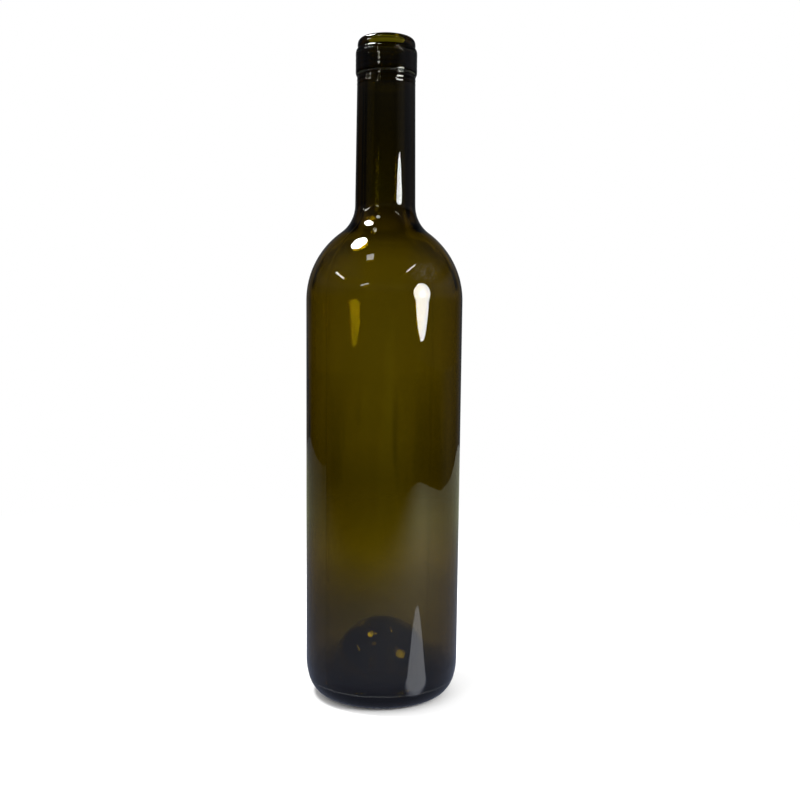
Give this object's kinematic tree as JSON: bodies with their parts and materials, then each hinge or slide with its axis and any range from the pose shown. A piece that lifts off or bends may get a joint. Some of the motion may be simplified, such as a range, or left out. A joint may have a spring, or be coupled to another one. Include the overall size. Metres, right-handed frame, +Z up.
{
  "type": "bordeaux wine bottle",
  "caption": "Empty olive glass wine bottle with straight sides, round shoulders, a cork finish and a deep punt.",
  "frame": {"origin": "middle of the ring that the bottle stands on, at the surface under it", "axes": "+Z up along the bottle's own axis, towards the mouth; the bottle is turned, so X and Y are alike"},
  "size_m": [0.0754, 0.0754, 0.3148],
  "materials": {
    "olive_glass": "clear dark olive bottle glass, fire polished"
  },
  "bodies": {
    "root": {"bottle": "olive_glass"}
  },
  "joints": []
}
